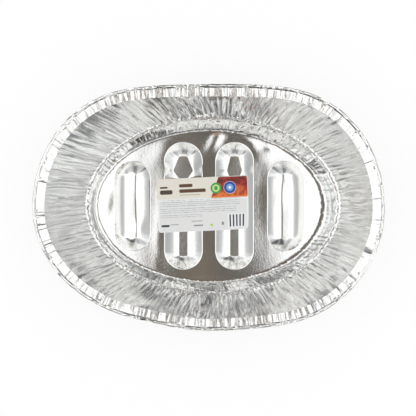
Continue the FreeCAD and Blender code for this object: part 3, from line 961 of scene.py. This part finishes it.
def ink_field_group():
    """A node group that prints an ink in a box with round corners. Its lengths are in mm."""
    group = bpy.data.node_groups.new("ink_field", "ShaderNodeTree")
    for name, kind in (
        ("Under", "NodeSocketColor"),
        ("Ink", "NodeSocketColor"),
        ("Mask", "NodeSocketFloat"),
        ("Place", "NodeSocketVector"),
        ("Centre", "NodeSocketVector"),
        ("Half size", "NodeSocketVector"),
        ("Corner", "NodeSocketFloat"),
    ):
        group.interface.new_socket(name, in_out="INPUT", socket_type=kind)
    group.interface.new_socket("Print", in_out="OUTPUT", socket_type="NodeSocketColor")
    given = add_node(group, "NodeGroupInput").outputs
    past_core = given["Place"]
    for operation, other in (
        ("SUBTRACT", given["Centre"]),
        ("ABSOLUTE", (0, 0, 0)),
        ("SUBTRACT", given["Half size"]),
        ("ADD", given["Corner"]),
    ):
        past_core = add_node(group, "VectorMath", {0: past_core, 1: other}, operation=operation)
    outside = add_node(group, "VectorMath", {0: past_core, 1: (0, 0, 0)}, operation="MAXIMUM")
    outside = add_node(group, "VectorMath", {0: outside}, operation="LENGTH")
    parts = add_node(group, "SeparateXYZ", {0: past_core}).outputs
    larger = add_node(group, "Math", {0: parts[0], 1: parts[1]}, operation="MAXIMUM")
    inside = add_node(group, "Math", {0: larger, 1: 0}, operation="MINIMUM")
    total = add_node(group, "Math", {0: outside.outputs["Value"], 1: inside}, operation="ADD")
    distance = add_node(group, "Math", {0: total, 1: given["Corner"]}, operation="SUBTRACT")
    inked = add_node(
        group, "Math", {0: distance, 1: -INK_EDGE, 2: 0.5}, operation="MULTIPLY_ADD", use_clamp=True
    )
    share = add_node(group, "Math", {0: inked, 1: given["Mask"]}, operation="MULTIPLY")
    layer = add_node(group, "Mix", {0: share, 6: given["Under"], 7: given["Ink"]}, data_type="RGBA")
    add_node(group, "NodeGroupOutput", {"Print": layer.outputs[2]})
    return group


# Plain fields of the print: ink, middle and half size in mm from the top left corner, corner radius.
HEADER_FIELDS = (
    ("header", (67, 14), (67, 16.7), 3),
    ("body", (67, 56), (64.5, 22.5), 2),
    ("brown", (10.5, 13), (5.6, 1.3), 1.2),
    ("brown", (13.8, 20), (9.2, 3.2), 2.4),
    ("umber", (43, 11.2), (10, 2.4), 2),
    ("umber", (52.5, 19), (19.5, 2.6), 2),
    ("tan", (48.5, 25), (15.5, 0.9), 0.9),
)
BADGE_FIELDS = (
    ("green", (87.2, 16.8), (8, 8), 8),
    ("pale_green", (87.2, 16.8), (5.4, 5.4), 5.4),
    ("green", (87.2, 16.8), (2.4, 3), 2),
    ("paper", (107.6, 16.6), (9.1, 9.1), 9.1),
    ("blue", (107.6, 16.6), (8.7, 8.7), 8.7),
    ("pale_blue", (107.6, 16.6), (5.2, 5.2), 5.2),
    ("paper", (107.6, 16.6), (2.2, 2.2), 2.2),
)
FOOT_FIELDS = (
    ("black", (10.5, 69.5), (6, 1.6), 1.4),
    ("grey", (24, 68), (6, 0.5), 0.4),
    ("grey", (59, 70.5), (7, 1), 0.9),
    ("grey", (57, 64), (8, 0.5), 0.4),
    ("lime", (78.5, 70.8), (2, 2), 2),
    ("grey", (95, 69), (1.6, 2.4), 1),
    ("paper", (116, 65.5), (13.5, 10.5), 1),
)
# The same for the picture field, for the glow at its foot and for the bars, which have masks.
PICTURE_FIELD = ((106.2, 15.9), (27.2, 15.2), 2.6)
GLOW_FIELD = ((106, 29.9), (27, 1.2), 0.4)
BAR_FIELD = ((116, 65.5), (12.4, 9), 0.2)
BAR_PITCH = 5
# How far the left side of the picture field leans, how far out it then lies, and how sharp it is.
PICTURE_LEAN = math.radians(-22.6)
PICTURE_LEFT = 84.7
PICTURE_EDGE = 4
# How much brighter the picture glows for each millimetre down the label.
GLOW_PER_MM = 0.011
# Blocks of fine strips: middle and half size of the block, and from one strip to the next.
STRIP_BLOCKS = (
    ((62.5, 36.6), (58.5, 5.6), 2.8),
    ((60, 47.6), (56, 4.4), 2.9),
    ((35, 55.6), (31, 2.6), 2.6),
)
STRIP_CORNER = 0.2
# How sharp the waves are that make strips and bars, and how far they are shifted towards more ink.
STRIP_WAVE = (1.6, -0.35)
BAR_WAVE = (3, 0.1)
# The card's length and width in mm.
CARD_SIZE = (134, 79, 0)
# Half the depth of a field, so that only its length and width count.
FIELD_DEPTH = 1000
# How much of the fibres' mottle shows through the print.
FIBRE_SHARE = 0.08


def printed_card_material(inks):
    # Coated paperboard, offset printed: matt white with a weak sheen, soft edges to the inks.
    material, tree = new_material("coated_paperboard_printed")
    uv = add_node(tree, "UVMap", uv_map="print")
    place = add_node(tree, "VectorMath", {0: uv, 1: CARD_SIZE}, operation="MULTIPLY")
    across, down = add_node(tree, "SeparateXYZ", {0: place}).outputs[:2]

    # The picture field leans on its left side. Its glow is a soft mottle of about 8 mm.
    leaning = add_node(tree, "Mapping", {"Vector": place, "Rotation": (0, 0, PICTURE_LEAN)})
    leaning = add_node(tree, "SeparateXYZ", {0: leaning})
    left_cut = add_node(
        tree, "Math", {0: leaning, 1: PICTURE_EDGE, 2: -PICTURE_LEFT * PICTURE_EDGE},
        operation="MULTIPLY_ADD", use_clamp=True,
    )
    mottle = add_node(
        tree, "TexNoise",
        {"Vector": place, "Scale": 0.12, "Detail": 5, "Roughness": 0.65, "Distortion": 1.2},
    )
    glow = add_node(tree, "Math", {0: down, 1: GLOW_PER_MM, 2: mottle}, operation="MULTIPLY_ADD")
    picture = add_node(tree, "ValToRGB", {"Fac": glow})
    stops = picture.color_ramp.elements
    stops[0].position, stops[0].color = 0.5, inks.dark_red
    stops[1].position, stops[1].color = 0.9, inks.orange
    stops.new(0.66).color = inks.red

    # Fine strips of grey, broken here and there, stand in for the small print.
    stretched = add_node(tree, "Mapping", {"Vector": place, "Scale": (0.25, 0.9, 1)})
    breaks = add_node(tree, "TexNoise", {"Vector": stretched, "Scale": 1, "Detail": 2})
    broken = add_node(
        tree, "MapRange",
        {"Value": breaks, "From Min": 0.38, "From Max": 0.62, "To Min": 0.15, "To Max": 0.85},
    )
    strips = []
    for centre, half, pitch in STRIP_BLOCKS:
        turn_per_mm = 2 * math.pi / pitch
        first = centre[1] - half[1] + pitch / 2
        phase = add_node(
            tree, "Math", {0: down, 1: turn_per_mm, 2: -turn_per_mm * first},
            operation="MULTIPLY_ADD",
        )
        wave = add_node(tree, "Math", {0: phase}, operation="COSINE")
        strip = add_node(
            tree, "Math", {0: wave, 1: STRIP_WAVE[0], 2: STRIP_WAVE[1]},
            operation="MULTIPLY_ADD", use_clamp=True,
        )
        mask = add_node(tree, "Math", {0: strip, 1: broken}, operation="MULTIPLY")
        strips.append((inks.grey, centre, half, STRIP_CORNER, mask))

    # Plain even bars.
    phase = add_node(tree, "Math", {0: across, 1: 2 * math.pi / BAR_PITCH}, operation="MULTIPLY")
    wave = add_node(tree, "Math", {0: phase}, operation="SINE")
    bars = add_node(
        tree, "Math", {0: wave, 1: BAR_WAVE[0], 2: BAR_WAVE[1]},
        operation="MULTIPLY_ADD", use_clamp=True,
    )

    # From the paper up: ink, middle, half size, corner radius and mask.
    layers = [(getattr(inks, ink), *shape, 1) for ink, *shape in HEADER_FIELDS]
    layers.append((picture, *PICTURE_FIELD, left_cut))
    layers.append((inks.orange, *GLOW_FIELD, left_cut))
    layers += [(getattr(inks, ink), *shape, 1) for ink, *shape in BADGE_FIELDS + FOOT_FIELDS]
    layers += strips
    layers.append((inks.black, *BAR_FIELD, bars))
    group = ink_field_group()
    printed = inks.paper
    for ink, centre, half, corner, mask in layers:
        printed = add_node(
            tree, "Group",
            {
                "Under": printed,
                "Ink": ink,
                "Mask": mask,
                "Place": place,
                "Centre": (*centre, 0),
                "Half size": (*half, FIELD_DEPTH),
                "Corner": corner,
            },
            node_tree=group,
        )

    fibre = add_node(tree, "TexNoise", {"Vector": place, "Scale": 2.4, "Detail": 6})
    soft = add_node(
        tree, "Mix", {0: FIBRE_SHARE, 6: printed, 7: fibre.outputs["Color"]},
        data_type="RGBA", blend_type="MULTIPLY",
    )
    bump = add_node(tree, "Bump", {"Strength": 0.3, "Distance": 0.03 * MM, "Height": fibre})
    card = add_node(
        tree, "BsdfPrincipled", {"Base Color": soft.outputs[2], "Roughness": 0.45, "Normal": bump}
    )
    add_node(tree, "OutputMaterial", {"Surface": card})
    return material


# The studio

def add_seen(tree):
    """1 for what the camera sees straight, in a mirror or through glass, and otherwise 0."""
    rays = add_node(tree, "LightPath").outputs
    seen = rays["Is Camera Ray"]
    for kind in ("Is Glossy Ray", "Is Transmission Ray"):
        seen = add_node(tree, "Math", {0: seen, 1: rays[kind]}, operation="MAXIMUM")
    return seen


# How much of the table that is seen is even white. The rest keeps the shadow.
EVEN_WHITE = 0.8


def white_table_material(look):
    # Matt white laminate: even white, with a weak shadow.
    material, tree = new_material("white_laminate_matt")
    matt = add_node(tree, "BsdfDiffuse", {"Color": look.floor_colour})
    glow = add_node(tree, "Emission", {"Color": (1, 1, 1, 1), "Strength": 1})
    share = add_node(tree, "Math", {0: add_seen(tree), 1: EVEN_WHITE}, operation="MULTIPLY")
    mixed = add_node(tree, "MixShader", {0: share, 1: matt, 2: glow})
    add_node(tree, "OutputMaterial", {"Surface": mixed})
    return material


# Where the dark card's painted glow is tan, at how far back, and how much.
TAN_BANDS = ((-0.48, 0), (-0.46, 1), (-0.41, 1), (-0.39, 0), (0.38, 0), (0.46, 1))


def dark_card_material(look):
    # Grey card that glows, with tan streaks and bands: a painted dark glow, the dark that the bright
    # floor of the pan mirrors.
    material, tree = new_material("grey_board_streaked")
    place = add_node(tree, "TexCoord").outputs["Object"]
    streaked = add_node(tree, "Mapping", {"Vector": place, "Scale": (9, 1.4, 1)})
    streaks = add_node(tree, "TexNoise", {"Vector": streaked, "Scale": 1, "Detail": 3})
    share = add_node(tree, "MapRange", {"Value": streaks, "From Min": 0.52, "From Max": 0.68})
    parts = add_node(tree, "SeparateXYZ", {0: place})
    along = add_node(tree, "MapRange", {"Value": parts.outputs[1], "From Min": -1})
    bands = add_node(tree, "ValToRGB", {"Fac": along})
    bands.color_ramp.elements.remove(bands.color_ramp.elements[0])
    for back, level in TAN_BANDS:
        bands.color_ramp.elements.new((back + 1) / 2).color = (level, level, level, 1)
    either = add_node(tree, "Math", {0: share, 1: bands}, operation="MAXIMUM")
    tint = add_node(tree, "Mix", {0: either, 6: look.card_dark, 7: look.card_tan}, data_type="RGBA")
    # Painted dark: the card glows with its colour, though it is no lamp.
    board = add_node(tree, "Emission", {"Color": tint.outputs[2]})
    add_node(tree, "OutputMaterial", {"Surface": board})
    return material


def black_cloth_material():
    # Black cotton cloth on the backs of the lamps, with a faint weave of 2 mm.
    material, tree = new_material("black_cotton_woven")
    weave = add_node(tree, "TexNoise", {"Scale": 500})
    tint = add_node(tree, "MapRange", {"Value": weave, "To Min": 0.004, "To Max": 0.012})
    cloth = add_node(tree, "BsdfDiffuse", {"Color": tint})
    add_node(tree, "OutputMaterial", {"Surface": cloth})
    return material


def grey_board_material(look, middle, height, darkest, lightest):
    # Grey boards that glow with painted light and shade: lighter towards the top as if lit from
    # above, patchy from side to side, darkest towards the table.
    material, tree = new_material("grey_board_matt")
    place = add_node(tree, "TexCoord").outputs["Object"]
    parts = add_node(tree, "SeparateXYZ", {0: place})
    share = add_node(tree, "MapRange", {"Value": parts.outputs[2], "From Max": height})
    tint = add_node(tree, "ValToRGB", {"Fac": share})
    stops = tint.color_ramp.elements
    stops[0].position, stops[0].color = 0.04, look.board_low
    stops[1].position, stops[1].color = 1, look.board_top
    stops.new(0.1).color = middle
    stops.new(0.6).color = look.board_high
    upright = add_node(
        tree, "Mapping", {"Vector": place, "Scale": (1, 1, 0.15), "Location": (0, 0.9, 0)}
    )
    patches = add_node(tree, "TexNoise", {"Vector": upright, "Scale": 1.1, "Detail": 1})
    level = add_node(
        tree, "MapRange",
        {
            "Value": patches,
            "From Min": 0.42,
            "From Max": 0.58,
            "To Min": darkest,
            "To Max": lightest,
        },
    )
    # Painted light: the boards glow with this colour and strength, though they are no lamps.
    board = add_node(tree, "Emission", {"Color": tint, "Strength": level})
    add_node(tree, "OutputMaterial", {"Surface": board})
    return material


def add_sheet(name, corners, material):
    """A flat piece of the studio."""
    face = tuple(range(len(corners)))
    sheet = make_object(name, np.array(corners, float), [face], material)
    return sheet


def level_corners(size, centre):
    half_x, half_y = size[0] / 2, size[1] / 2
    x, y, z = centre
    sides = ((-1, -1), (1, -1), (1, 1), (-1, 1))
    return [(x + side * half_x, y + way * half_y, z) for side, way in sides]


# The outline of the dark card in metres: how far back, its left side, and its right side.
CARD_STOPS = (
    (-0.95, -0.24, 0.20),
    (-0.60, -0.24, 0.18),
    (-0.36, -0.30, 0.23),
    (-0.30, -0.27, 0.19),
    (-0.25, -0.24, 0.15),
    (-0.17, -0.21, 0.135),
    (0.14, -0.205, 0.13),
    (0.22, -0.25, 0.15),
    (0.50, -0.22, 0.12),
    (0.80, -0.24, 0.16),
)
CARD_HEIGHT = 1.9


def add_dark_card(look):
    """A dark card above the pan, glowing with painted dark, which the camera looks past."""
    left_side = [(left, back, CARD_HEIGHT) for back, left, right in CARD_STOPS]
    right_side = [(right, back, CARD_HEIGHT) for back, left, right in CARD_STOPS]
    card = add_sheet("dark_card", left_side + right_side[::-1], dark_card_material(look))
    card.visible_camera = False


# Boards across each axis: how far out, how high, and how their patches of painted light change their
# brightness.
BOARDS = (("x", 2.4, 2.35, 0.75, 1.35), ("y", 2.2, 2.7, 0.14, 0.98))
# Half the length of a board.
HALF_BOARD = 2.6


def add_boards(look):
    """Grey boards round the table, glowing with painted light and shade, which only mirrors see."""
    for axis, reach, height, darkest, lightest in BOARDS:
        middle = look.board_side if axis == "x" else look.board_middle
        material = grey_board_material(look, middle, height, darkest, lightest)
        for side, end in ((-1, "low"), (1, "high")):
            away, wide = side * reach, HALF_BOARD
            corners = [(away, -wide, 0), (away, wide, 0), (away, wide, height), (away, -wide, height)]
            if axis == "y":
                corners = [(y, x, z) for x, y, z in corners]
            board = add_sheet("board_%s_%s" % (axis, end), corners, material)
            board.visible_camera = False
            board.visible_diffuse = False
            board.visible_shadow = False


# Watts for each square metre of a lamp's face that is as bright as white.
WHITE_LAMP = 4


def add_soft_box(name, size, centre, level, back_material):
    """A lamp with a level face that is as bright as told, where 1 is white, and its dark back."""
    lamp = bpy.data.lights.new(name, "AREA")
    lamp.shape = "RECTANGLE"
    lamp.size, lamp.size_y = size
    lamp.energy = WHITE_LAMP * size[0] * size[1] * level
    box = bpy.data.objects.new(name, lamp)
    box.location = centre
    box.visible_camera = False
    bpy.context.scene.collection.objects.link(box)
    above = (centre[0], centre[1], centre[2] + 0.01)
    back = add_sheet(name + "_back", level_corners(size, above), back_material)
    back.visible_camera = False


def set_world(look):
    world = bpy.data.worlds.new("white_room")
    bpy.context.scene.world = world
    world.use_nodes = True
    tree = world.node_tree
    tree.nodes.clear()
    level = add_node(tree, "MapRange", {"Value": add_seen(tree), "To Min": look.room_level})
    room = add_node(tree, "Background", {"Color": (1, 1, 1, 1), "Strength": level})
    add_node(tree, "OutputWorld", {"Surface": room})


CAMERA_PLACE = Vector((0.030, 0.060, 1.572))
CAMERA_TARGET = Vector((0, 0, 0.072))
CAMERA_ANGLE = math.radians(22.16)


def set_camera():
    """Above the pan, a little to its right and back, with the back of the pan at the top."""
    backward = (CAMERA_PLACE - CAMERA_TARGET).normalized()
    right = Vector((0, 1, 0)).cross(backward).normalized()
    up = backward.cross(right)
    lens = bpy.data.cameras.new("camera")
    lens.sensor_fit = "HORIZONTAL"
    lens.angle = CAMERA_ANGLE
    camera = bpy.data.objects.new("camera", lens)
    turned = Matrix((right, up, backward)).transposed().to_4x4()
    camera.matrix_world = Matrix.Translation(CAMERA_PLACE) @ turned
    bpy.context.scene.collection.objects.link(camera)
    bpy.context.scene.camera = camera


TABLE_SIZE = (12, 12)
TABLE_TOP = (0, 0, -0.2 * MM)
# The soft boxes: their size, how high they hang, and how far to the right the middle of each is.
SOFT_BOX_SIZE = (1.45, 2.4)
SOFT_BOX_HEIGHT = 1.6
SOFT_BOXES = (("left_soft_box", -0.97), ("right_soft_box", 0.9))


# Operators and panel

class PAN_OT_press_foil(bpy.types.Operator):
    """Press the foil pan with its ribs, ledge, gathered wall and rolled edge"""

    bl_idname = "roasting_pan.press_foil"
    bl_label = "Press the foil"

    def execute(self, context):
        scene = context.scene
        pan = press_foil(scene.pan_sizes, scene.fold_sizes, scene.foil_finish)
        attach(pan, "root")
        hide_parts("foil_pan")
        return {"FINISHED"}


class PAN_OT_lay_label(bpy.types.Operator):
    """Lay the printed paper label across the two middle ribs"""

    bl_idname = "roasting_pan.lay_label"
    bl_label = "Lay the label"

    def execute(self, context):
        label = cut_label(context.scene.label_sizes, context.scene.label_inks)
        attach(label, "root")
        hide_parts("paper_label")
        return {"FINISHED"}


class PAN_OT_set_stage(bpy.types.Operator):
    """Set up the table, the soft boxes, the card above the pan and the camera"""

    bl_idname = "roasting_pan.set_stage"
    bl_label = "Set the stage"

    def execute(self, context):
        look = context.scene.stage_look
        context.scene.view_settings.view_transform = "Standard"
        table = level_corners(TABLE_SIZE, TABLE_TOP)
        add_sheet("white_table", table, white_table_material(look))
        add_dark_card(look)
        add_boards(look)
        black = black_cloth_material()
        for name, middle in SOFT_BOXES:
            centre = (middle, 0, SOFT_BOX_HEIGHT)
            add_soft_box(name, SOFT_BOX_SIZE, centre, look.lamp_level, black)
        set_world(look)
        set_camera()
        return {"FINISHED"}


class PAN_PT_roasting_pan(bpy.types.Panel):
    bl_label = "Roasting pan"
    bl_idname = "PAN_PT_roasting_pan"
    bl_space_type = "VIEW_3D"
    bl_region_type = "UI"
    bl_category = "Roasting pan"

    def draw(self, context):
        for operator in OPERATORS:
            self.layout.operator(operator.bl_idname)
        for name in GROUPS:
            group = getattr(context.scene, name)
            box = self.layout.box()
            for prop in group.__annotations__:
                box.prop(group, prop)


OPERATORS = (PAN_OT_press_foil, PAN_OT_lay_label, PAN_OT_set_stage)
GROUPS = {
    "pan_sizes": PanSizes,
    "fold_sizes": FoldSizes,
    "foil_finish": FoilFinish,
    "label_sizes": LabelSizes,
    "label_inks": LabelInks,
    "stage_look": StageLook,
}


def register():
    for kind in (*GROUPS.values(), *OPERATORS, PAN_PT_roasting_pan):
        bpy.utils.register_class(kind)
    for name, kind in GROUPS.items():
        setattr(bpy.types.Scene, name, PointerProperty(type=kind))


def unregister():
    for name in GROUPS:
        delattr(bpy.types.Scene, name)
    for kind in (PAN_PT_roasting_pan, *OPERATORS, *GROUPS.values()):
        bpy.utils.unregister_class(kind)


def main():
    register()
    bpy.ops.roasting_pan.set_stage()
    bpy.ops.roasting_pan.press_foil()
    bpy.ops.roasting_pan.lay_label()


if __name__ == "__main__":
    main()
